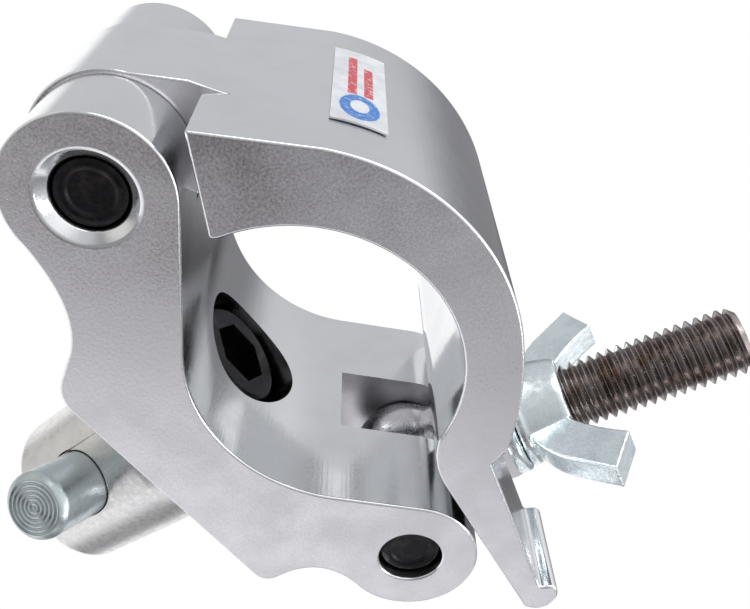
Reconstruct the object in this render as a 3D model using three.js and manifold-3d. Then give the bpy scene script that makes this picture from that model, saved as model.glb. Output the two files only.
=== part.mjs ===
// Aluminium half coupler for a 48 to 51 mm round tube, with a half-conical truss connector under it.
// Millimetres, +Z up. The origin is the centre of the tube bore, halfway across the clamp's width.
// The tube runs along Y, +X points to the closing side with the eyebolt, and the flat base faces -Z.

import * as THREE from 'three';
import { mergeVertices } from 'three/addons/utils/BufferGeometryUtils.js';
import Module from 'manifold-3d';

const wasm = await Module();
wasm.setup();

// ---- driving dimensions ----------------------------------------------------------------------

const WIDTH = 50;             // clamp width along the tube
const BORE_R = 25.4;          // saddle radius, for a 50.8 mm tube
const BASE_Z = -39.2;         // flat base that a connector bolts under
const GAP = 0.15;             // space left between pieces that touch
const PIN_R = 5;              // hinge pin and pivot pin
const PIN_PLAY = 0.1;         // radial play of a pin in its hole
const PIN_RECESS = 1.6;       // the pins end this far inside the faces

const HINGE = { x: -41.1, z: -13.4, lugR: 11.4 };   // arm hinge, left
const PIVOT = { x: 35.4, z: -16.1, lugR: 10.9 };    // eyebolt pivot, right

const KNUCKLE_W = 22;         // arm knuckle between the hinge ears
const KNUCKLE_R = 12;
const SIDE_PLAY = 0.35;       // side play of a moving piece in its slot

const ARM_IN = { x: -4.4, z: -9, r: 23.7 };         // inner pad of the arm
const ARM_OUT = { x: -6.4, z: -10, r: 33.9 };       // outer back of the arm
const EYE_SLOT_W = 15;        // slot for the eye in the lug
const TAIL_SLOT_W = 13;       // slot for the rod in the arm's forked tail
const TAIL_SLOT_X = 28;       // root of that slot

const ROD_R = 5.9;            // M12 thread, drawn plain
const ROD_LEAN = THREE.MathUtils.degToRad(10.6);    // lean of the closed eyebolt from +Z towards +X
const ROD_LENGTH = 63;        // from the pivot centre
const EYE_R = 9.4;
const EYE_W = 14;
const SEAT = 19.3;            // from the pivot centre to the underside of the washer
const WASHER = { r: 10, t: 2.6 };
const THREAD_PLAY = 0.2;      // radial space between the plain rod and the pieces on it
const NUT = { footR: 9.4, topR: 7.8, height: 9.6, thick: 4.6 };

const BOLT = { headR: 9, headH: 7, shankR: ROD_R, socketR: 5.8, socketDepth: 4.5 };
const BOLT_TIP_Z = -48;       // the bolt ends above the connector's pin
const COUNTERBORE = { r: 10.5, floorZ: -35.4 };
const LOCK_WASHER = { r: 10, t: 2 };
const CONE = { x: 5, y: -3, topR: 14.8, neckZ: -46, endR: 13.4, endZ: -69.5, chamfer: 1.4 };
const CONE_PIN = { r: 5.6, z: -57.5, out: 25.4, back: 18, chamfer: 1.2 };
const CONE_PIN_ANGLE = THREE.MathUtils.degToRad(-120);  // direction of the pin's outer end in plan
const LABEL = { from: 119.5, to: 133, y0: -15, y1: 15, t: 0.25 };  // arc angles in degrees, and width

// ---- geometry helpers ------------------------------------------------------------------------

// A closed three.js geometry as a solid for joining and cutting.
function solid(geometry) {
  const plain = geometry.clone();
  plain.deleteAttribute('normal');
  plain.deleteAttribute('uv');
  const merged = mergeVertices(plain, 1e-4);
  return new wasm.Manifold(new wasm.Mesh({
    numProp: 3,
    vertProperties: new Float32Array(merged.attributes.position.array),
    triVerts: new Uint32Array(merged.index.array),
  }));
}

// A solid back as a three.js geometry.
function geometryOf(body) {
  const mesh = body.getMesh();
  const geometry = new THREE.BufferGeometry();
  geometry.setAttribute('position', new THREE.BufferAttribute(mesh.vertProperties, 3));
  geometry.setIndex(new THREE.BufferAttribute(mesh.triVerts, 1));
  geometry.computeVertexNormals();
  return geometry;
}

// An outline in X and Z, extruded along Y from y0 to y1.
function slab(shape, y0, y1, segments = 16) {
  const geometry = new THREE.ExtrudeGeometry(shape, {
    depth: y1 - y0, bevelEnabled: false, curveSegments: segments,
  });
  geometry.rotateX(Math.PI / 2);        // outline Y becomes Z, extrusion runs to -Y
  geometry.translate(0, y1, 0);
  return solid(geometry);
}

// A cylinder along Y.
function rodY(x, z, r, y0, y1, endR = r, segments = 40) {
  const geometry = new THREE.CylinderGeometry(endR, r, y1 - y0, segments);
  return solid(geometry.translate(x, (y0 + y1) / 2, z));
}

// A body of revolution about Z from [radius, z] pairs that start and end on the axis.
function turned(profile, segments = 40) {
  const geometry = new THREE.LatheGeometry(profile.map(([r, z]) => new THREE.Vector2(r, z)), segments);
  return geometry.rotateX(Math.PI / 2);
}

function block(x0, x1, y0, y1, z0, z1) {
  const geometry = new THREE.BoxGeometry(x1 - x0, y1 - y0, z1 - z0);
  return solid(geometry.translate((x0 + x1) / 2, (y0 + y1) / 2, (z0 + z1) / 2));
}

function piece(name, geometry, color, roughness, metalness) {
  const mesh = new THREE.Mesh(geometry, new THREE.MeshStandardMaterial({ color, roughness, metalness }));
  mesh.name = name;
  return mesh;
}

// Angle of the normal of the line that touches the bore circle and a lug circle, with the bore on
// one side and the lug on the other.
function neckAngle(lug, turn) {
  const distance = Math.hypot(lug.x, lug.z);
  return Math.atan2(-lug.z, -lug.x) + turn * Math.acos((BORE_R + lug.lugR) / distance);
}

// ---- lower body ------------------------------------------------------------------------------

function bodyOutline() {
  const left = neckAngle(HINGE, 1);
  const right = neckAngle(PIVOT, -1);
  const s = new THREE.Shape();
  s.moveTo(-17.5, BASE_Z);
  s.lineTo(23.5, BASE_Z);
  s.quadraticCurveTo(26.6, BASE_Z, 26.6, -36);
  s.quadraticCurveTo(26.8, -27.8, PIVOT.x, PIVOT.z - PIVOT.lugR);
  s.absarc(PIVOT.x, PIVOT.z, PIVOT.lugR, -Math.PI / 2, right, false);
  s.absarc(0, 0, BORE_R, right - Math.PI, left - Math.PI, true);
  s.absarc(HINGE.x, HINGE.z, HINGE.lugR, left, 1.5 * Math.PI, false);
  s.quadraticCurveTo(-30, -26, -25.6, -32);
  s.lineTo(-22.8, -36.5);
  s.quadraticCurveTo(-20.9, BASE_Z, -17.5, BASE_Z);
  return s;
}

function lowerBody() {
  const half = WIDTH / 2;
  const knuckleHalf = KNUCKLE_W / 2 + SIDE_PLAY;
  const pinHole = PIN_R + PIN_PLAY;
  let body = slab(bodyOutline(), -half, half, 24);
  body = body.subtract(rodY(HINGE.x, HINGE.z, KNUCKLE_R + 0.6, -knuckleHalf, knuckleHalf, undefined, 56));
  body = body.subtract(rodY(HINGE.x, HINGE.z, pinHole, -half - 1, half + 1));
  body = body.subtract(rodY(PIVOT.x, PIVOT.z, pinHole, -half - 1, half + 1));
  body = body.subtract(rodY(HINGE.x, HINGE.z, 6.6, -half - 0.01, -half + 1.5, pinHole));
  body = body.subtract(rodY(PIVOT.x, PIVOT.z, 5.6, -half - 0.01, -half + 0.5, pinHole));
  body = body.subtract(block(18, 50, -EYE_SLOT_W / 2, EYE_SLOT_W / 2, -28.5, 0));
  body = body.subtract(solid(turned([
    [0, BASE_Z - 1], [BOLT.shankR + 0.5, BASE_Z - 1], [BOLT.shankR + 0.5, COUNTERBORE.floorZ],
    [COUNTERBORE.r, COUNTERBORE.floorZ], [COUNTERBORE.r, 0], [0, 0],
  ])));
  return piece('lower_body', geometryOf(body), 0xc9ccd0, 0.3, 1);
}

// ---- clamp arm -------------------------------------------------------------------------------

function armOutline() {
  const s = new THREE.Shape();
  const inStart = THREE.MathUtils.degToRad(167);
  const inEnd = THREE.MathUtils.degToRad(25);
  const outStart = THREE.MathUtils.degToRad(62);
  const outEnd = THREE.MathUtils.degToRad(134);
  s.moveTo(-29.2, -4.2);
  s.quadraticCurveTo(-28, -5.2, ARM_IN.x + ARM_IN.r * Math.cos(inStart), ARM_IN.z + ARM_IN.r * Math.sin(inStart));
  s.absarc(ARM_IN.x, ARM_IN.z, ARM_IN.r, inStart, inEnd, true);
  s.quadraticCurveTo(20.4, -2.6, 26, -3.2);
  s.lineTo(36, -4.4);
  s.lineTo(56.6, -6.9);
  s.quadraticCurveTo(59, -5.8, 58.7, -3.2);
  s.quadraticCurveTo(58, -0.6, 55.9, -0.3);       // lip that keeps the washer on the tail
  s.quadraticCurveTo(54.8, -0.4, 54.4, -1.6);
  s.quadraticCurveTo(54, -2.5, 53, -2.2);
  s.lineTo(25.6, 5.1);
  s.lineTo(24.6, 8.6);
  s.quadraticCurveTo(17.6, 15.8, ARM_OUT.x + ARM_OUT.r * Math.cos(outStart),
    ARM_OUT.z + ARM_OUT.r * Math.sin(outStart));
  s.absarc(ARM_OUT.x, ARM_OUT.z, ARM_OUT.r, outStart, outEnd, false);
  s.lineTo(-41.1, 2.3);
  s.lineTo(-29.2, -4.2);
  return s;
}

// The knuckle's web, from the hinge to the left end of the arm.
function webOutline() {
  const s = new THREE.Shape();
  s.moveTo(HINGE.x + 11, HINGE.z + 4.6);
  s.lineTo(-28.9, -4.4);
  s.lineTo(-24, 6);
  s.lineTo(-36, 7);
  s.lineTo(-43.2, 1.8);
  s.lineTo(HINGE.x - 8.6, HINGE.z + 8.2);
  s.lineTo(HINGE.x, HINGE.z);
  return s;
}

function clampArm() {
  const half = WIDTH / 2;
  let arm = slab(armOutline(), -half, half, 24);
  arm = arm.add(rodY(HINGE.x, HINGE.z, KNUCKLE_R, -KNUCKLE_W / 2, KNUCKLE_W / 2, undefined, 56));
  arm = arm.add(slab(webOutline(), -KNUCKLE_W / 2, KNUCKLE_W / 2));
  arm = arm.subtract(rodY(HINGE.x, HINGE.z, PIN_R + PIN_PLAY, -half, half));
  arm = arm.subtract(block(TAIL_SLOT_X, 70, -TAIL_SLOT_W / 2, TAIL_SLOT_W / 2, -20, 20));
  return piece('clamp_arm', geometryOf(arm), 0xc4c7cb, 0.22, 1);
}

// ---- pins ------------------------------------------------------------------------------------

function crossPin(name, place) {
  const end = WIDTH / 2 - PIN_RECESS;
  const geometry = turned([
    [0, -end], [PIN_R - 0.8, -end], [PIN_R, -end + 0.8], [PIN_R, end - 0.8], [PIN_R - 0.8, end], [0, end],
  ]);
  const pin = piece(name, geometry, 0x17181a, 0.45, 0.9);
  pin.rotation.x = -Math.PI / 2;
  pin.position.set(place.x, 0, place.z);
  return pin;
}

// ---- eyebolt, washer and wing nut, about the leaning rod's own axis ------------------------------

function eyebolt() {
  const eye = solid(new THREE.SphereGeometry(EYE_R, 32, 20)).intersect(
    block(-EYE_R, EYE_R, -EYE_W / 2, EYE_W / 2, -EYE_R, EYE_R));
  const rod = solid(turned([
    [0, 0], [ROD_R, 0], [ROD_R, ROD_LENGTH - 1.2], [ROD_R - 1.2, ROD_LENGTH], [0, ROD_LENGTH],
  ], 32));
  const hole = rodY(0, 0, PIN_R + PIN_PLAY, -EYE_W, EYE_W);
  return piece('eyebolt', geometryOf(eye.add(rod).subtract(hole)), 0x2a2624, 0.4, 0.95);
}

function washer() {
  const inner = ROD_R + THREAD_PLAY;
  return piece('flat_washer', turned([
    [inner, SEAT], [WASHER.r, SEAT], [WASHER.r, SEAT + WASHER.t], [inner, SEAT + WASHER.t], [inner, SEAT],
  ]), 0xb9c0c6, 0.35, 1);
}

// One wing in the plane of Y and the rod's axis, rising away from the foot.
function wing(side, foot) {
  const s = new THREE.Shape();
  s.moveTo(side * 6.3, foot + 1);
  s.quadraticCurveTo(side * 12, foot + 2, side * 16.5, foot + 6.5);
  s.lineTo(side * 22.3, foot + 13.8);
  s.lineTo(side * 15.2, foot + 17.6);
  s.quadraticCurveTo(side * 11.5, foot + 11.5, side * 6.5, foot + 7.5);
  const geometry = new THREE.ExtrudeGeometry(s, { depth: NUT.thick, bevelEnabled: false, curveSegments: 8 });
  geometry.rotateX(Math.PI / 2);
  geometry.rotateZ(Math.PI / 2);        // outline X now runs along Y, outline Y along the axis
  geometry.translate(-NUT.thick / 2, 0, 0);
  return solid(geometry);
}

function wingNut() {
  const foot = SEAT + WASHER.t + GAP;
  const top = foot + NUT.height;
  let nut = solid(turned([[0, foot], [NUT.footR, foot], [NUT.footR, foot + 1.5], [NUT.topR, top - 1],
    [NUT.topR - 1, top], [0, top]], 36));
  nut = nut.add(wing(1, foot)).add(wing(-1, foot));
  nut = nut.subtract(solid(turned([[0, foot - 5], [ROD_R + THREAD_PLAY, foot - 5],
    [ROD_R + THREAD_PLAY, top + 5], [0, top + 5]])));
  return piece('wing_nut', geometryOf(nut), 0xb7c4ca, 0.3, 1);
}

function closingSet() {
  const set = new THREE.Group();
  set.add(eyebolt(), washer(), wingNut());
  set.position.set(PIVOT.x, 0, PIVOT.z);
  set.rotation.y = ROD_LEAN;
  return set;
}

// ---- connector under the base ------------------------------------------------------------------

function mountingBolt() {
  const seat = COUNTERBORE.floorZ + LOCK_WASHER.t + 2 * GAP;
  const top = seat + BOLT.headH;
  const tip = BOLT_TIP_Z;
  const bolt = solid(turned([[0, tip], [BOLT.shankR - 0.8, tip], [BOLT.shankR, tip + 0.8], [BOLT.shankR, seat],
    [BOLT.headR, seat], [BOLT.headR, top - 0.6], [BOLT.headR - 0.6, top], [0, top]]));
  const socket = new THREE.CylinderGeometry(BOLT.socketR, BOLT.socketR, BOLT.socketDepth + 1, 6);
  socket.rotateX(Math.PI / 2);
  socket.translate(0, 0, top - BOLT.socketDepth / 2 + 0.5);
  return piece('mounting_bolt', geometryOf(bolt.subtract(solid(socket))), 0x1b1b1d, 0.45, 0.9);
}

function lockWasher() {
  const inner = BOLT.shankR + 0.3;
  const low = COUNTERBORE.floorZ + GAP;
  return piece('lock_washer', turned([[inner, low], [LOCK_WASHER.r, low], [LOCK_WASHER.r, low + LOCK_WASHER.t],
    [inner, low + LOCK_WASHER.t], [inner, low]]), 0x3a3b3e, 0.45, 0.9);
}

// Turns a shape along Z so that it lies along the connector's pin.
function alongConePin(geometry) {
  geometry.rotateY(Math.PI / 2);
  geometry.rotateZ(CONE_PIN_ANGLE);
  return geometry.translate(CONE.x, CONE.y, CONE_PIN.z);
}

function conePinHole() {
  const geometry = new THREE.CylinderGeometry(CONE_PIN.r + PIN_PLAY, CONE_PIN.r + PIN_PLAY, 80, 40);
  return solid(alongConePin(geometry.rotateX(Math.PI / 2)));
}

function connector() {
  const top = BASE_Z - GAP;
  const round = turned([[0, CONE.endZ], [CONE.endR - CONE.chamfer, CONE.endZ],
    [CONE.endR, CONE.endZ + CONE.chamfer], [CONE.topR, CONE.neckZ], [CONE.topR, top], [0, top]], 56);
  let cone = solid(round.translate(CONE.x, CONE.y, 0));
  const thread = turned([[0, BOLT_TIP_Z - 1], [BOLT.shankR + THREAD_PLAY, BOLT_TIP_Z - 1],
    [BOLT.shankR + THREAD_PLAY, top + 1], [0, top + 1]]);
  cone = cone.subtract(solid(thread)).subtract(conePinHole());
  return piece('half_conical_connector', geometryOf(cone), 0xc2c4c6, 0.3, 1);
}

function connectorPin() {
  const { r, out, back, chamfer } = CONE_PIN;
  const geometry = alongConePin(turned([[0, -back], [r - chamfer, -back], [r, chamfer - back],
    [r, out - chamfer], [r - chamfer, out], [0, out]]));
  return piece('connector_pin', geometry, 0x9aa6ad, 0.4, 1);
}

// ---- label -------------------------------------------------------------------------------------

function label() {
  const from = THREE.MathUtils.degToRad(LABEL.from);
  const to = THREE.MathUtils.degToRad(LABEL.to);
  const low = ARM_OUT.r + GAP;
  const s = new THREE.Shape();
  s.absarc(ARM_OUT.x, ARM_OUT.z, low + LABEL.t, from, to, false);
  s.absarc(ARM_OUT.x, ARM_OUT.z, low, to, from, true);
  return piece('rating_label', geometryOf(slab(s, LABEL.y0, LABEL.y1, 12)), 0xe8e6e2, 0.6, 0);
}

// ---- the whole clamp ---------------------------------------------------------------------------

const clamp = new THREE.Group();
clamp.add(
  lowerBody(), clampArm(), crossPin('hinge_pin', HINGE), crossPin('pivot_pin', PIVOT), closingSet(),
  connector(), mountingBolt(), lockWasher(), connectorPin(), label(),
);

export default clamp;
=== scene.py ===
"""Looks of an aluminium pipe clamp with a wing nut on a swing eyebolt and a half-conical connector.

Lengths are written in millimetres in the part's own frame: the tube runs along Y, +X is the
closing side and +Z is up. Meshes are made in metres.
"""

import math

import bmesh
import bpy
from mathutils import Matrix, Vector


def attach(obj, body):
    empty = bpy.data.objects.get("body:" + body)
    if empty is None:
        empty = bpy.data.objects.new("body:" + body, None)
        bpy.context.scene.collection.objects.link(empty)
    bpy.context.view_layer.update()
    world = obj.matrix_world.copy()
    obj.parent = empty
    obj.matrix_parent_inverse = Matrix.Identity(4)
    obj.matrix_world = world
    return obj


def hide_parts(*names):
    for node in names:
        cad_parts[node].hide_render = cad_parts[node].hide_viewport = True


MM = 0.001

# Body and arm. A lug or an arc is (centre x, centre z, radius).
WIDTH = 50
BORE_R = 25.4
BASE_Z = -39.2
HINGE = (-41.1, -13.4, 11.4)
PIVOT = (35.4, -16.1, 10.9)
ARM_IN = (-4.4, -9, 23.7)
ARM_OUT = (-6.4, -10, 33.9)
KNUCKLE_W = 22
KNUCKLE_R = 12
BODY_SLOT = 7.5
ARM_SLOT = 6.5
COUNTERBORE_R = 10.5
COUNTERBORE_Z = -35.4
EDGE = 0.4

# Cross pins, and the holes they sit in.
PIN_R = 5
HOLE_R = 5.1

# Swing eyebolt. SEAT and FOOT are the undersides of the washer and the nut, along the rod.
LEAN = math.radians(10.6)
ROD_R = 5.9
ROD_ROOT = 4.9
ROD_CORE = 4.6
ROD_LENGTH = 63
PITCH = 1.75
THREAD_START = 14.0
SEAT = 19.3
FOOT = 22.05
NUT_HOLE_R = 6.1

# Connector under the base, and its pin.
CONE = (5, -3)
CONE_R = 14.8
CONE_PIN_R = 5.6
CONE_PIN_Z = -57.5
CONE_PIN_ANGLE = math.radians(-120)

FLOOR_Z = -71

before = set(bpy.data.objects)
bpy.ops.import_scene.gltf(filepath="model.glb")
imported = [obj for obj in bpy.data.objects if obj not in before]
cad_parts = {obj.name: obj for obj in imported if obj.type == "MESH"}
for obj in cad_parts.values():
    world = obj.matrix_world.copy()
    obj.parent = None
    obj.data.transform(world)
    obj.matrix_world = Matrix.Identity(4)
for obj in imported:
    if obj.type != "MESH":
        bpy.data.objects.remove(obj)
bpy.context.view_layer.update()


# ---- outlines --------------------------------------------------------------------------------


def arc(centre_x, centre_z, radius, start, end, steps):
    """Points of an arc from the start angle to the end angle, in degrees."""
    points = []
    for i in range(steps + 1):
        a = math.radians(start + (end - start) * i / steps)
        points.append((centre_x + radius * math.cos(a), centre_z + radius * math.sin(a)))
    return points


def curve(start, control, end, steps=14):
    """Points of a quadratic curve, both ends included."""
    points = []
    for i in range(steps + 1):
        t = i / steps
        a, b, c = (1 - t) ** 2, 2 * t * (1 - t), t * t
        points.append((a * start[0] + b * control[0] + c * end[0],
                       a * start[1] + b * control[1] + c * end[1]))
    return points


def tidy_outline(points):
    """The outline without points that repeat the one before."""
    kept = []
    for p in points:
        if not kept or math.dist(p, kept[-1]) > 0.02:
            kept.append(p)
    if math.dist(kept[0], kept[-1]) < 0.02:
        kept.pop()
    return kept


def neck_angle(lug, turn):
    """Angle of the normal of the line that touches the bore circle and a lug circle."""
    reach = math.acos((BORE_R + lug[2]) / math.hypot(lug[0], lug[1]))
    return math.degrees(math.atan2(-lug[1], -lug[0]) + turn * reach)


def body_outline():
    left = neck_angle(HINGE, 1)
    right = neck_angle(PIVOT, -1)
    points = [(-17.5, BASE_Z)]
    points += curve((23.5, BASE_Z), (26.6, BASE_Z), (26.6, -36))
    points += curve((26.6, -36), (26.8, -27.8), (PIVOT[0], PIVOT[1] - PIVOT[2]))
    points += arc(*PIVOT, -90, right, 90)
    points += arc(0, 0, BORE_R, right - 180, left - 180, 90)
    points += arc(*HINGE, left, 270, 90)
    points += curve((HINGE[0], HINGE[1] - HINGE[2]), (-30, -26), (-25.6, -32), 20)
    points += curve((-22.8, -36.5), (-20.9, BASE_Z), (-17.5, BASE_Z), 10)
    return tidy_outline(points)


def arm_outline():
    points = curve((-29.2, -4.2), (-28, -5.2), arc(*ARM_IN, 167, 167, 1)[0], 6)
    points += arc(*ARM_IN, 167, 25, 110)
    points += curve(arc(*ARM_IN, 25, 25, 1)[0], (20.4, -2.6), (26, -3.2))
    points += [(36, -4.4)]
    points += curve((56.6, -6.9), (59, -5.8), (58.7, -3.2), 10)
    points += curve((58.7, -3.2), (58, -0.6), (55.9, -0.3), 8)
    points += curve((55.9, -0.3), (54.8, -0.4), (54.4, -1.6), 6)
    points += curve((54.4, -1.6), (54, -2.5), (53, -2.2), 6)
    points += [(25.6, 5.1)]
    points += curve((24.6, 8.6), (17.6, 15.8), arc(*ARM_OUT, 62, 62, 1)[0], 16)
    points += arc(*ARM_OUT, 62, 134, 70)
    points += [(-41.1, 2.3)]
    return tidy_outline(points)


# ---- meshes ----------------------------------------------------------------------------------


def new_object(name, bm, place=None):
    """An object from a bmesh in millimetres, closed and with outward normals."""
    bmesh.ops.recalc_face_normals(bm, faces=bm.faces)
    placed = Matrix.Scale(MM, 4) @ (place or Matrix.Identity(4))
    bmesh.ops.transform(bm, matrix=placed, verts=bm.verts)
    mesh = bpy.data.meshes.new(name)
    bm.to_mesh(mesh)
    bm.free()
    obj = bpy.data.objects.new(name, mesh)
    bpy.context.collection.objects.link(obj)
    return obj


def prism(name, corners, along, place=None):
    """A flat outline of 3-D corners, extruded by a vector."""
    bm = bmesh.new()
    face = bm.faces.new([bm.verts.new(c) for c in corners])
    made = bmesh.ops.extrude_face_region(bm, geom=[face])["geom"]
    moved = [v for v in made if isinstance(v, bmesh.types.BMVert)]
    bmesh.ops.translate(bm, verts=moved, vec=along)
    return new_object(name, bm, place)


def slab(name, outline, y0, y1):
    """An outline in X and Z, extruded along Y."""
    return prism(name, [(x, y0, z) for x, z in outline], (0, y1 - y0, 0))


def box(name, low, high):
    (x0, y0, z0), (x1, y1, z1) = low, high
    return prism(name, [(x0, y0, z0), (x1, y0, z0), (x1, y0, z1), (x0, y0, z1)], (0, y1 - y0, 0))


def turned(name, profile, place=None, segments=96, closed=False):
    """A body of revolution about Z from (radius, z) pairs. A closed profile makes a ring."""
    bm = bmesh.new()
    rings = []
    for radius, z in profile:
        if radius < 1e-6:
            rings.append([bm.verts.new((0, 0, z))])
            continue
        ring = []
        for i in range(segments):
            a = 2 * math.pi * i / segments
            ring.append(bm.verts.new((radius * math.cos(a), radius * math.sin(a), z)))
        rings.append(ring)
    pairs = list(zip(rings, rings[1:]))
    if closed:
        pairs.append((rings[-1], rings[0]))
    for low, high in pairs:
        for i in range(segments):
            j = (i + 1) % segments
            if len(low) == 1:
                bm.faces.new((low[0], high[i], high[j]))
            elif len(high) == 1:
                bm.faces.new((low[i], low[j], high[0]))
            else:
                bm.faces.new((low[i], low[j], high[j], high[i]))
    return new_object(name, bm, place)


def along_y(x, z):
    """Turns a body of revolution about Z so that it lies along Y through (x, z)."""
    return Matrix.Translation((x, 0, z)) @ Matrix.Rotation(-math.pi / 2, 4, "X")


def cylinder_y(name, x, z, radius, y0, y1, segments=96):
    return turned(name, [(0, y0), (radius, y0), (radius, y1), (0, y1)], along_y(x, z), segments)


def settle(obj):
    """Applies the object's modifiers."""
    bpy.context.view_layer.update()
    graph = bpy.context.evaluated_depsgraph_get()
    mesh = bpy.data.meshes.new_from_object(obj.evaluated_get(graph))
    obj.modifiers.clear()
    obj.data = mesh
    return obj


def combine(obj, tool, operation):
    """Cuts the tool out of the object, or joins it on, and removes the tool."""
    boolean = obj.modifiers.new("boolean", "BOOLEAN")
    boolean.operation = operation
    boolean.solver = "EXACT"
    boolean.object = tool
    settle(obj)
    bpy.data.objects.remove(tool)
    return obj


def clean(obj):
    """Merges stray points and flat edges that a cut leaves behind."""
    bm = bmesh.new()
    bm.from_mesh(obj.data)
    bmesh.ops.remove_doubles(bm, verts=bm.verts, dist=0.004 * MM)
    bmesh.ops.dissolve_limit(bm, angle_limit=math.radians(0.2), verts=bm.verts, edges=bm.edges)
    bm.to_mesh(obj.data)
    bm.free()
    return obj


def shade(obj, angle=35):
    obj.data.polygons.foreach_set("use_smooth", [True] * len(obj.data.polygons))
    obj.data.set_sharp_from_angle(angle=math.radians(angle))
    return obj


def round_edges(obj, width, segments=3, angle=35, stays_sharp=None):
    """Rounds the sharp edges, except those whose middle, in millimetres, passes stays_sharp."""
    shade(obj, angle)
    bm = bmesh.new()
    bm.from_mesh(obj.data)
    weight = bm.edges.layers.float.new("bevel_weight_edge")
    for edge in bm.edges:
        if len(edge.link_faces) != 2 or edge.calc_face_angle() < math.radians(angle):
            continue
        middle = (edge.verts[0].co + edge.verts[1].co) / 2 / MM
        kept = stays_sharp is not None and stays_sharp(middle)
        edge.smooth = not kept
        edge[weight] = 0 if kept else 1
    bm.to_mesh(obj.data)
    bm.free()
    bevel = obj.modifiers.new("bevel", "BEVEL")
    bevel.width = width * MM
    bevel.segments = segments
    bevel.limit_method = "WEIGHT"
    bevel.use_clamp_overlap = False
    return settle(obj)


def flatten_shading(obj, angle=35):
    """Smooth shading that keeps large flat faces flat and the remaining sharp edges sharp."""
    shade(obj, angle)
    weigh = obj.modifiers.new("weigh", "WEIGHTED_NORMAL")
    weigh.keep_sharp = True
    weigh.weight = 100
    return settle(obj)


def soften(obj, voxel, smoothing):
    """Remeshes a joined body finely and smooths it, so that its parts flow into each other."""
    remesh = obj.modifiers.new("remesh", "REMESH")
    remesh.mode = "VOXEL"
    remesh.voxel_size = voxel * MM
    remesh.use_smooth_shade = True
    smooth = obj.modifiers.new("smooth", "SMOOTH")
    smooth.factor = 0.5
    smooth.iterations = smoothing
    return settle(obj)


def merge(obj, others):
    """Puts the other meshes into the object's own, as one piece."""
    bm = bmesh.new()
    for part in [obj, *others]:
        bm.from_mesh(part.data)
    bm.to_mesh(obj.data)
    bm.free()
    for part in others:
        bpy.data.objects.remove(part)
    return obj


def piece(obj, node, body, material):
    """Makes the object stand for a CAD node, on that node's body."""
    obj.data.materials.clear()
    obj.data.materials.append(material)
    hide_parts(node)
    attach(obj, body)


# ---- materials -------------------------------------------------------------------------------


class Shader:
    """A material or world node tree with short calls for the nodes used here."""

    def __init__(self, owner):
        owner.use_nodes = True
        self.tree = owner.node_tree
        self.tree.nodes.clear()

    def node(self, kind, **values):
        made = self.tree.nodes.new(kind)
        for key, value in values.items():
            setattr(made, key, value)
        return made

    def feed(self, socket, value):
        if isinstance(value, bpy.types.NodeSocket):
            self.tree.links.new(value, socket)
        else:
            socket.default_value = value

    def coords(self, stretch=(1, 1, 1)):
        """Object coordinates in millimetres, scaled by stretch."""
        source = self.node("ShaderNodeTexCoord")
        mapping = self.node("ShaderNodeMapping")
        mapping.inputs["Scale"].default_value = [s / MM for s in stretch]
        self.feed(mapping.inputs["Vector"], source.outputs["Object"])
        return mapping.outputs["Vector"]

    def noise(self, scale, detail=4, stretch=(1, 1, 1), roughness=0.55):
        """Noise with features of about 1/scale millimetres, from 0 to 1."""
        made = self.node("ShaderNodeTexNoise")
        self.feed(made.inputs["Vector"], self.coords(stretch))
        made.inputs["Scale"].default_value = scale
        made.inputs["Detail"].default_value = detail
        made.inputs["Roughness"].default_value = roughness
        return made.outputs["Fac"]

    def pits(self, scale, size):
        """Small pits: 1 inside a pit and 0 elsewhere."""
        made = self.node("ShaderNodeTexVoronoi")
        self.feed(made.inputs["Vector"], self.coords())
        made.inputs["Scale"].default_value = scale
        return self.ramp(made.outputs["Distance"], size, 0, 1, 0)

    def ramp(self, value, low, high, at_low, at_high):
        """Maps low..high smoothly to at_low..at_high."""
        made = self.node("ShaderNodeMapRange", interpolation_type="SMOOTHSTEP")
        if low > high:
            low, high, at_low, at_high = high, low, at_high, at_low
        self.feed(made.inputs["Value"], value)
        ends = (("From Min", low), ("From Max", high), ("To Min", at_low), ("To Max", at_high))
        for name, number in ends:
            self.feed(made.inputs[name], number)
        return made.outputs["Result"]

    def math(self, operation, a, b=0.0):
        made = self.node("ShaderNodeMath", operation=operation)
        self.feed(made.inputs[0], a)
        self.feed(made.inputs[1], b)
        return made.outputs[0]

    def mix(self, share, a, b):
        """Colour a where share is 0 and colour b where it is 1."""
        made = self.node("ShaderNodeMix", data_type="RGBA")
        for socket, value in zip((made.inputs[0], made.inputs[6], made.inputs[7]), (share, a, b)):
            self.feed(socket, (*value, 1) if isinstance(value, tuple) else value)
        return made.outputs[2]

    def normal_part(self, axis):
        """Size of the surface normal along an axis, 0 to 1."""
        split = self.node("ShaderNodeSeparateXYZ")
        self.feed(split.inputs[0], self.node("ShaderNodeNewGeometry").outputs["True Normal"])
        return self.math("ABSOLUTE", split.outputs[axis])

    def bump(self, height, depth, before=None):
        """A bump of that height in millimetres."""
        made = self.node("ShaderNodeBump")
        made.inputs["Strength"].default_value = 1
        made.inputs["Distance"].default_value = depth * MM
        self.feed(made.inputs["Height"], height)
        if before:
            self.feed(made.inputs["Normal"], before)
        return made.outputs["Normal"]

    def surface(self, colour, roughness, normal, metallic=1.0, **sockets):
        shader = self.node("ShaderNodeBsdfPrincipled")
        colour = (*colour, 1) if isinstance(colour, tuple) else colour
        self.feed(shader.inputs["Base Color"], colour)
        self.feed(shader.inputs["Roughness"], roughness)
        self.feed(shader.inputs["Metallic"], metallic)
        self.feed(shader.inputs["Normal"], normal)
        for name, value in sockets.items():
            self.feed(shader.inputs[name.replace("_", " ")], value)
        output = self.node("ShaderNodeOutputMaterial")
        self.feed(output.inputs["Surface"], shader.outputs[0])


def new_shader(name):
    material = bpy.data.materials.new(name)
    return material, Shader(material)


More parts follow.
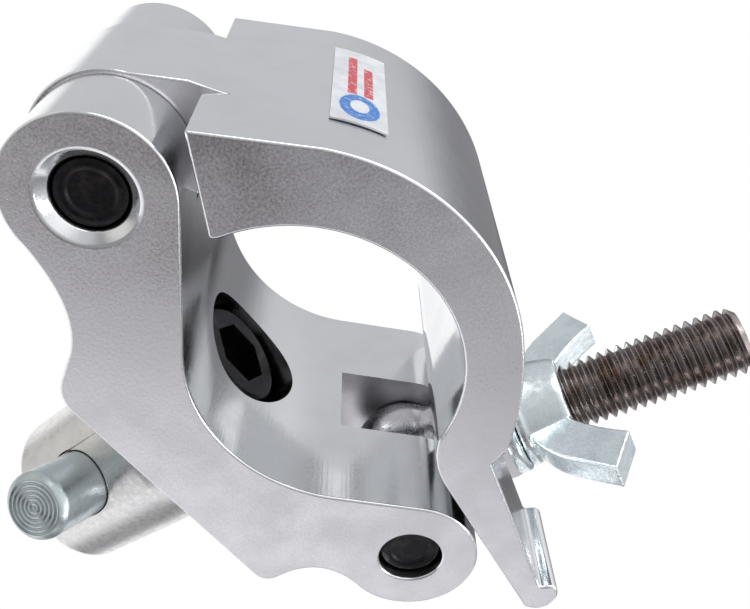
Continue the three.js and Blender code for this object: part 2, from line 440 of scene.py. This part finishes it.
def aluminium(name, face, wall, face_rough, wall_rough):
    """Extruded aluminium: finely ground end faces, and drawn walls that shine along Y."""
    material, s = new_shader(name)
    end_face = s.ramp(s.normal_part(1), 0.9, 0.99, 0, 1)
    mottle = s.noise(0.12, 3)
    grain = s.noise(2.6, 3)
    drawn = s.noise(1.6, 3, (1, 0.02, 1))
    tint = s.mix(end_face, wall, face)
    tint = s.mix(s.ramp(mottle, 0.35, 0.75, 0, 0.22), tint, (0.62, 0.62, 0.64))
    base = s.math("ADD", s.math("MULTIPLY", end_face, face_rough - wall_rough), wall_rough)
    rough = s.math("ADD", base, s.ramp(grain, 0.3, 0.7, -0.03, 0.05))
    rough = s.math("ADD", rough, s.ramp(mottle, 0.3, 0.7, -0.03, 0.04))
    normal = s.bump(grain, 0.006)
    normal = s.bump(drawn, 0.012, normal)
    normal = s.bump(s.pits(0.35, 0.05), 0.01, normal)
    s.surface(tint, rough, normal)
    return material


def steel(name, light, dark, rough, grain_size, depth, patch=(0.45, 0.7), **sockets):
    """Steel with patches of two tones, grain and a coarser bump."""
    material, s = new_shader(name)
    patches = s.noise(0.22, 5)
    grain = s.noise(grain_size, 4)
    tint = s.mix(s.ramp(patches, *patch, 0, 1), light, dark)
    roughness = s.ramp(grain, 0.3, 0.7, rough - 0.06, rough + 0.08)
    normal = s.bump(grain, depth)
    normal = s.bump(s.noise(0.6, 3), depth * 2, normal)
    s.surface(tint, roughness, normal, **sockets)
    return material


def rod_steel():
    """Blackened rod in patches of two tones, and a forged eye that is bare."""
    material, s = new_shader("rod_metal")
    offset = s.node("ShaderNodeVectorMath", operation="DISTANCE")
    s.feed(offset.inputs[0], s.node("ShaderNodeTexCoord").outputs["Object"])
    s.feed(offset.inputs[1], (PIVOT[0] * MM, 0, PIVOT[1] * MM))
    bare = s.ramp(offset.outputs["Value"], 12 * MM, 15 * MM, 1, 0)
    patches = s.noise(0.3, 5)
    grain = s.noise(2.2, 4)
    black = s.mix(s.ramp(patches, 0.4, 0.7, 0, 1), (0.30, 0.27, 0.26), (0.17, 0.13, 0.11))
    tint = s.mix(bare, black, (0.6, 0.59, 0.62))
    normal = s.bump(s.noise(0.7, 3), 0.03, s.bump(grain, 0.01))
    s.surface(tint, s.ramp(grain, 0.3, 0.7, 0.2, 0.32), normal)
    return material


def label_material():
    """White film with a blue oval and two red bars, slightly worn."""
    material, s = new_shader("label")
    split = s.node("ShaderNodeSeparateXYZ")
    s.feed(split.inputs[0], s.node("ShaderNodeTexCoord").outputs["UV"])
    u, v = split.outputs[0], split.outputs[1]

    def oval(centre_u, centre_v, radius_u, radius_v):
        a = s.math("DIVIDE", s.math("SUBTRACT", u, centre_u), radius_u)
        b = s.math("DIVIDE", s.math("SUBTRACT", v, centre_v), radius_v)
        distance = s.math("ADD", s.math("MULTIPLY", a, a), s.math("MULTIPLY", b, b))
        return s.ramp(distance, 0.95, 1.05, 1, 0)

    def bar(centre_u, centre_v, half_u, half_v):
        a = s.ramp(s.math("ABSOLUTE", s.math("SUBTRACT", u, centre_u)), half_u, half_u + 0.01, 1, 0)
        b = s.ramp(s.math("ABSOLUTE", s.math("SUBTRACT", v, centre_v)), half_v, half_v + 0.02, 1, 0)
        return s.math("MULTIPLY", a, b)

    wear = s.noise(1.4, 5)
    colour = s.mix(s.ramp(s.noise(0.3, 3), 0.3, 0.7, 0, 1), (0.66, 0.68, 0.71), (0.52, 0.54, 0.57))
    ring = s.math("SUBTRACT", oval(0.2, 0.5, 0.15, 0.36), oval(0.21, 0.5, 0.075, 0.17))
    blue = s.math("MULTIPLY", ring, s.ramp(wear, 0.3, 0.5, 0.5, 1))
    colour = s.mix(blue, colour, (0.03, 0.17, 0.5))
    for centre_v, centre_u, half_u in ((0.64, 0.62, 0.26), (0.34, 0.56, 0.2)):
        worn = s.ramp(wear, 0.35, 0.5, 0.4, 1)
        red = s.math("MULTIPLY", bar(centre_u, centre_v, half_u, 0.075), worn)
        colour = s.mix(red, colour, (0.5, 0.05, 0.07))
    s.surface(colour, s.ramp(wear, 0.3, 0.7, 0.28, 0.42), s.bump(wear, 0.01), 0.0)
    return material


# ---- pieces ----------------------------------------------------------------------------------

ROD = Matrix.Translation((PIVOT[0], 0, PIVOT[1])) @ Matrix.Rotation(LEAN, 4, "Y")
CONE_PLACE = Matrix.Translation((CONE[0], CONE[1], 0))
CONE_PIN_PLACE = (Matrix.Translation((CONE[0], CONE[1], CONE_PIN_Z))
                  @ Matrix.Rotation(CONE_PIN_ANGLE, 4, "Z") @ Matrix.Rotation(math.pi / 2, 4, "Y"))


def lower_body():
    half = WIDTH / 2
    obj = slab("body", body_outline(), -half, half)
    side = KNUCKLE_W / 2 + 0.35
    room = cylinder_y("room", HINGE[0], HINGE[1], KNUCKLE_R + 0.6, -side, side, 128)
    combine(obj, room, "DIFFERENCE")
    combine(obj, box("slot", (18, -BODY_SLOT, -28.5), (50, BODY_SLOT, 0)), "DIFFERENCE")
    rim = 6.7
    sunk = [(0, -half - 1), (rim, -half - 1), (rim, -half), (HOLE_R, -half + 1.5),
            (HOLE_R, half + 1), (0, half + 1)]
    combine(obj, turned("hole", sunk, along_y(HINGE[0], HINGE[1])), "DIFFERENCE")
    combine(obj, cylinder_y("hole", PIVOT[0], PIVOT[1], HOLE_R, -half - 1, half + 1), "DIFFERENCE")
    bolt_r = 6.4
    bore = [(0, BASE_Z - 1), (bolt_r, BASE_Z - 1), (bolt_r, COUNTERBORE_Z),
            (COUNTERBORE_R, COUNTERBORE_Z), (COUNTERBORE_R, 0), (0, 0)]
    combine(obj, turned("bore", bore, segments=128), "DIFFERENCE")

    def milled(p):
        """Edges of the counterbore and of the slot, which a cutter leaves crisp."""
        in_slot = abs(p.y) < BODY_SLOT + 0.1 and p.x > 17.9
        return math.hypot(p.x, p.y) < COUNTERBORE_R + 0.3 or in_slot

    return flatten_shading(round_edges(clean(obj), EDGE, stays_sharp=milled))


def clamp_arm():
    """The arm and its forked tail, joined by a web to the knuckle ring round the hinge pin."""
    half = WIDTH / 2
    obj = slab("arm", arm_outline(), -half, half)
    combine(obj, box("slot", (28, -ARM_SLOT, -20), (70, ARM_SLOT, 20)), "DIFFERENCE")
    round_edges(clean(obj), EDGE)
    side = KNUCKLE_W / 2
    rim = [(HOLE_R, -side), (KNUCKLE_R, -side), (KNUCKLE_R, side), (HOLE_R, side)]
    knuckle = turned("knuckle", rim, along_y(HINGE[0], HINGE[1]), 128, closed=True)
    web = [(HINGE[0] + 11, HINGE[1] + 4.6), (-28.9, -4.4), (-24, 6), (-36, 7), (-43.2, 1.8),
           (HINGE[0] - 8.6, HINGE[1] + 8.2), (HINGE[0], HINGE[1] + 5.9)]
    combine(knuckle, slab("web", web, -side, side), "UNION")
    round_edges(clean(knuckle), EDGE)
    combine(obj, knuckle, "UNION")
    return flatten_shading(obj)


def cross_pin(name, lug):
    """A pin through a lug, with a shallow dish in its near end."""
    end = WIDTH / 2 - 1.6
    profile = [(0, -end + 0.35), (2.9, -end + 0.35), (3.2, -end + 0.1), (3.5, -end),
               (PIN_R - 0.8, -end), (PIN_R - 0.3, -end + 0.2), (PIN_R, -end + 0.9),
               (PIN_R, end - 0.9), (PIN_R - 0.3, end - 0.2), (PIN_R - 0.8, end), (0, end)]
    return shade(turned(name, profile, along_y(lug[0], lug[1])), 30)


def thread_radius(share):
    """Radius of the rolled thread at a share of one pitch."""
    if share < 0.12:
        return ROD_R
    if share < 0.5:
        return ROD_R + (ROD_ROOT - ROD_R) * (share - 0.12) / 0.38
    if share < 0.62:
        return ROD_ROOT
    return ROD_ROOT + (ROD_R - ROD_ROOT) * (share - 0.62) / 0.38


def threaded_rod():
    """The helical M12 thread from the shank to the rod's bevelled tip."""
    shares = (0, 0.06, 0.12, 0.21, 0.31, 0.41, 0.5, 0.56, 0.62, 0.71, 0.81, 0.91)
    segments = 72
    rows = (int((ROD_LENGTH - THREAD_START) / PITCH) + 3) * len(shares)
    bm = bmesh.new()
    columns = []
    for i in range(segments):
        a = 2 * math.pi * i / segments
        column = []
        for j in range(rows + len(shares)):
            turn, step = divmod(j, len(shares))
            z = THREAD_START + PITCH * (turn - 1 + shares[step] + i / segments)
            at_tip = ROD_CORE + (ROD_LENGTH - z) * 0.9
            at_shank = 5.3 + (z - THREAD_START) * 0.6
            radius = min(thread_radius(shares[step]), at_tip, at_shank)
            z = min(max(z, THREAD_START), ROD_LENGTH)
            radius = min(max(radius, ROD_CORE), ROD_R)
            column.append(bm.verts.new((radius * math.cos(a), radius * math.sin(a), z)))
        columns.append(column)
    for i in range(segments):
        near, far = columns[i], columns[(i + 1) % segments]
        shift = len(shares) if i == segments - 1 else 0
        for j in range(rows - 1):
            bm.faces.new((near[j], far[j + shift], far[j + shift + 1], near[j + 1]))
    rod = new_object("rod", bm, ROD)
    core = [(0, THREAD_START), (ROD_CORE, THREAD_START), (ROD_CORE, ROD_LENGTH - 0.01),
            (ROD_CORE - 0.3, ROD_LENGTH), (0, ROD_LENGTH)]
    return merge(rod, [turned("cap", core, ROD)])


def eyebolt():
    """A forged eye with flat sides, remeshed into its shank, and the threaded rod."""
    bm = bmesh.new()
    bmesh.ops.create_uvsphere(bm, u_segments=96, v_segments=64, radius=9.4)
    eye = new_object("eye", bm, ROD)
    flats = box("flats", (-12, -7, -12), (12, 7, 12))
    flats.matrix_world = Matrix.Scale(MM, 4) @ ROD @ Matrix.Scale(1 / MM, 4)
    combine(eye, flats, "INTERSECT")
    shank = [(0, 0), (7.4, 4), (6.9, 7.5), (6.2, 9.6), (5.8, 11.5), (5.7, 14.2), (0, 14.2)]
    combine(eye, turned("shank", shank, ROD), "UNION")
    combine(eye, cylinder_y("hole", PIVOT[0], PIVOT[1], HOLE_R, -12, 12), "DIFFERENCE")
    soften(eye, 0.22, 6)
    obj = merge(eye, [threaded_rod()])
    obj.name = "swing_eyebolt"
    return shade(obj, 50)


def flat_washer():
    inner, outer, low, high = 6.1, 10, SEAT, SEAT + 2.6
    profile = [(inner, low + 0.2), (inner + 0.2, low), (outer - 0.5, low),
               (outer - 0.15, low + 0.15), (outer, low + 0.5), (outer, high - 0.8),
               (outer - 0.25, high - 0.25), (outer - 0.8, high), (inner + 0.2, high),
               (inner, high - 0.2)]
    return shade(turned("washer", profile, ROD, closed=True), 50)


def wing_nut():
    """A forged nut: a flanged hub and two wings, remeshed so that they flow into each other."""
    top = FOOT + 9.6
    hub = [(0, FOOT), (9.1, FOOT), (9.4, FOOT + 0.3), (9.4, FOOT + 1.3), (9.1, FOOT + 1.9),
           (7.9, top - 1.2), (7.6, top - 0.4), (6.9, top), (0, top)]
    obj = turned("nut", hub, ROD, 128)
    for side in (1, -1):
        outline = curve((5.5, 1.1), (12, 2), (16.5, 6.5), 16)
        outline += [(22.3, 13.8), (15.2, 17.6)]
        outline += curve((15.2, 17.6), (11.5, 11.5), (5.5, 7.6), 16)
        corners = [(-2.3, side * y, FOOT + s) for y, s in tidy_outline(outline)]
        combine(obj, prism("wing", corners, (4.6, 0, 0), ROD), "UNION")
    hole = [(0, FOOT - 3), (NUT_HOLE_R, FOOT - 3), (NUT_HOLE_R, top - 0.9),
            (NUT_HOLE_R + 1.3, top + 0.6), (0, top + 0.6)]
    combine(obj, turned("hole", hole, ROD), "DIFFERENCE")
    return soften(obj, 0.2, 5)


def connector():
    """The half-conical connector, threaded for the mounting bolt and drilled for its pin."""
    top = BASE_Z - 0.15
    profile = [(0, -69.5), (11.4, -69.5), (12.2, -69.3), (13.2, -68.4), (13.45, -67.7),
               (14.75, -46.4), (CONE_R, -45.8), (CONE_R, top - 0.3), (CONE_R - 0.3, top), (0, top)]
    obj = turned("connector", profile, CONE_PLACE, 160)
    thread = turned("thread", [(0, -49), (6.1, -49), (6.1, top + 1), (0, top + 1)])
    combine(obj, thread, "DIFFERENCE")
    drilled = CONE_PIN_R + 0.1
    hole = turned("hole", [(0, -40), (drilled, -40), (drilled, 40), (0, 40)], CONE_PIN_PLACE)
    combine(obj, hole, "DIFFERENCE")
    return flatten_shading(round_edges(clean(obj), 0.35, 2, 40))


def connector_pin():
    """The cross pin, with the rings that facing it in a lathe left on its end."""
    profile = [(0, -18), (4.4, -18), (5.4, -17.2), (CONE_PIN_R, -16.6), (CONE_PIN_R, 24.0),
               (5.45, 24.5), (4.6, 25.3)]
    steps = 60
    for i in range(steps):
        radius = 4.5 * (1 - i / steps)
        profile.append((radius, 25.33 + 0.06 * math.cos(radius * 8.5)))
    profile.append((0, 25.35))
    return shade(turned("conical_pin", profile, CONE_PIN_PLACE, 128), 60)


def mounting_bolt():
    """A socket-head bolt in the saddle's floor, from its shank's end up to its head."""
    low, top = -33.1, -26.1
    profile = [(0, -48), (5.1, -48), (5.9, -47.2), (5.9, low), (8.7, low), (9, low + 0.3),
               (9, top - 1), (8.7, top - 0.3), (8.1, top), (0, top)]
    obj = turned("bolt", profile)
    socket = [(0, top - 4.5), (5.8, top - 4.5), (5.8, top + 1), (0, top + 1)]
    combine(obj, turned("socket", socket, segments=6), "DIFFERENCE")
    return flatten_shading(round_edges(clean(obj), 0.2, 2))


def lock_washer():
    low, high = -35.25, -33.25
    profile = [(6.2, low + 0.2), (6.4, low), (9.7, low), (10, low + 0.3), (10, high - 0.3),
               (9.7, high), (6.4, high), (6.2, high - 0.2)]
    return shade(turned("split_washer", profile, closed=True), 50)


def rating_label():
    """A thin film on the arm's back, with UV (along the tube, round the arc)."""
    bm = bmesh.new()
    uv = bm.loops.layers.uv.new("UVMap")
    low, high = 34.05, 34.3
    grid = []
    across, around = 24, 24
    for radius in (low, high):
        for j in range(around + 1):
            a = math.radians(119.5 + 13.5 * j / around)
            for i in range(across + 1):
                y = -15 + 30 * i / across
                x = ARM_OUT[0] + radius * math.cos(a)
                z = ARM_OUT[1] + radius * math.sin(a)
                grid.append(bm.verts.new((x, y, z)))
    row = across + 1
    layer = row * (around + 1)

    def face(*corners):
        made = bm.faces.new([grid[c] for c in corners])
        for loop, corner in zip(made.loops, corners):
            j, i = divmod(corner % layer, row)
            loop[uv].uv = (i / across, j / around)

    for j in range(around):
        for i in range(across):
            a = j * row + i
            face(a, a + row, a + row + 1, a + 1)
            face(layer + a, layer + a + 1, layer + a + row + 1, layer + a + row)
    for i in range(across):
        last = around * row + i
        face(i, i + 1, layer + i + 1, layer + i)
        face(last, layer + last, layer + last + 1, last + 1)
    for j in range(around):
        a, b = j * row, j * row + across
        face(a, layer + a, layer + a + row, a + row)
        face(b, b + row, layer + b + row, layer + b)
    return shade(new_object("label", bm), 40)


body_metal = aluminium("body_metal", (0.80, 0.79, 0.81), (0.80, 0.81, 0.82), 0.34, 0.13)
arm_metal = aluminium("arm_metal", (0.82, 0.81, 0.84), (0.80, 0.81, 0.83), 0.32, 0.13)
turned_metal = steel("turned_metal", (0.78, 0.77, 0.75), (0.70, 0.70, 0.71), 0.3, 1.2, 0.008)
black_metal = steel("black_metal", (0.025, 0.024, 0.026), (0.05, 0.045, 0.045), 0.38, 1.6, 0.01)
rod_metal = rod_steel()
zinc_metal = steel("zinc_metal", (0.78, 0.85, 0.87), (0.66, 0.73, 0.76), 0.24, 0.9, 0.02)
pin_metal = steel("pin_metal", (0.50, 0.56, 0.58), (0.36, 0.42, 0.43), 0.33, 1.3, 0.015)
bolt_metal = steel("bolt_metal", (0.03, 0.03, 0.033), (0.06, 0.055, 0.055), 0.4, 1.4, 0.01)

piece(lower_body(), "lower_body", "base", body_metal)
piece(clamp_arm(), "clamp_arm", "arm", arm_metal)
piece(cross_pin("pin_left", HINGE), "hinge_pin", "base", black_metal)
piece(cross_pin("pin_right", PIVOT), "pivot_pin", "base", black_metal)
piece(eyebolt(), "eyebolt", "eyebolt", rod_metal)
piece(flat_washer(), "flat_washer", "washer", zinc_metal)
piece(wing_nut(), "wing_nut", "nut", zinc_metal)
piece(connector(), "half_conical_connector", "base", turned_metal)
piece(connector_pin(), "connector_pin", "pin", pin_metal)
piece(mounting_bolt(), "mounting_bolt", "base", bolt_metal)
piece(lock_washer(), "lock_washer", "base", bolt_metal)
piece(rating_label(), "rating_label", "arm", label_material())


# ---- studio ----------------------------------------------------------------------------------


def studio():
    """A white background, and soft panels that only the metal sees."""
    world = bpy.data.worlds.new("studio")
    bpy.context.scene.world = world
    s = Shader(world)
    direction = s.node("ShaderNodeTexCoord").outputs["Generated"]
    panels = [
        # Each panel: direction of its middle, angle where it is full and where it ends, colour.
        ((0, 0, 1), 62, 88, (0.64, 0.65, 0.67)),
        ((0, 0, 1), 20, 58, (1.25, 1.25, 1.27)),
        ((-0.6, 0.75, 0.2), 25, 45, (0.62, 0.63, 0.65)),
        ((0.5, 0.85, 0.12), 8, 28, (0.24, 0.24, 0.25)),
        ((0.482, 0, -0.876), 53, 60, (1.1, 1.1, 1.14)),
        ((0.1, 0.75, -0.65), 28, 38, (1.1, 1.1, 1.1)),
        ((0.58, 0.78, -0.25), 6, 17, (0.06, 0.06, 0.065)),
        ((0.13, -0.92, -0.36), 11, 22, (0.04, 0.03, 0.028)),
        ((0.8, -0.15, -0.58), 12, 28, (0.3, 0.3, 0.31)),
        ((-0.9, 0.1, -0.3), 20, 45, (0.8, 0.79, 0.76)),
        ((-0.67, 0.0, 0.72), 8, 18, (3.0, 2.95, 2.8)),
        ((0.5, -0.15, 0.82), 8, 18, (2.4, 2.4, 2.4)),
    ]
    colour = (0.33, 0.33, 0.34)
    for towards, inner, outer, tone in panels:
        dot = s.node("ShaderNodeVectorMath", operation="DOT_PRODUCT")
        s.feed(dot.inputs[0], direction)
        s.feed(dot.inputs[1], Vector(towards).normalized())
        ends = (math.cos(math.radians(outer)), math.cos(math.radians(inner)))
        share = s.ramp(dot.outputs["Value"], *ends, 0, 1)
        colour = s.mix(share, colour, tone)
    sky = s.node("ShaderNodeBackground")
    s.feed(sky.inputs["Color"], colour)
    white = s.node("ShaderNodeBackground")
    s.feed(white.inputs["Color"], (1, 1, 1, 1))
    swap = s.node("ShaderNodeMixShader")
    s.feed(swap.inputs[0], s.node("ShaderNodeLightPath").outputs["Is Camera Ray"])
    s.feed(swap.inputs[1], sky.outputs[0])
    s.feed(swap.inputs[2], white.outputs[0])
    s.feed(s.node("ShaderNodeOutputWorld").inputs["Surface"], swap.outputs[0])


def area_light(name, place, target, size, power, colour=(1, 1, 1)):
    data = bpy.data.lights.new(name, "AREA")
    data.shape = "RECTANGLE"
    data.size, data.size_y = size
    data.energy = power
    data.color = colour
    lamp = bpy.data.objects.new(name, data)
    bpy.context.collection.objects.link(lamp)
    lamp.location = place
    lamp.rotation_mode = "QUATERNION"
    lamp.rotation_quaternion = (Vector(target) - Vector(place)).to_track_quat("-Z", "Y")


def floor():
    """A plain white floor just under the connector, seen from above and not mirrored in the metal."""
    bm = bmesh.new()
    bmesh.ops.create_grid(bm, x_segments=8, y_segments=8, size=1500)
    obj = new_object("floor", bm, Matrix.Translation((0, 0, FLOOR_Z)))
    material, s = new_shader("floor")
    glow = s.node("ShaderNodeEmission")
    glow.inputs["Color"].default_value = (1, 1, 1, 1)
    swap = s.node("ShaderNodeMixShader")
    s.feed(swap.inputs[0], s.node("ShaderNodeNewGeometry").outputs["Backfacing"])
    s.feed(swap.inputs[1], glow.outputs[0])
    s.feed(swap.inputs[2], s.node("ShaderNodeBsdfTransparent").outputs[0])
    s.feed(s.node("ShaderNodeOutputMaterial").inputs["Surface"], swap.outputs[0])
    obj.data.materials.append(material)
    obj.visible_glossy = False
    obj.visible_diffuse = False
    obj.visible_shadow = False


def camera():
    data = bpy.data.cameras.new("camera")
    data.lens = 43.409
    data.sensor_width = 36
    data.clip_start = 0.01
    obj = bpy.data.objects.new("camera", data)
    bpy.context.collection.objects.link(obj)
    forward = Vector((0.44677, 0.84363, -0.29781))
    up = Vector((-0.69004, 0.53681, 0.48546))
    right = forward.cross(up)
    turn = Matrix((right, up, -forward)).transposed().to_4x4()
    obj.matrix_world = Matrix.Translation((-0.06182, -0.12668, 0.042855)) @ turn
    bpy.context.scene.camera = obj


studio()
floor()
area_light("top", (-0.1, 0.1, 0.5), (0, 0, 0), (0.3, 0.3), 1)
area_light("side", (0.3, -0.3, 0.25), (0.03, 0, 0), (0.08, 0.3), 0.6)
camera()
bpy.context.scene.view_settings.view_transform = "Standard"
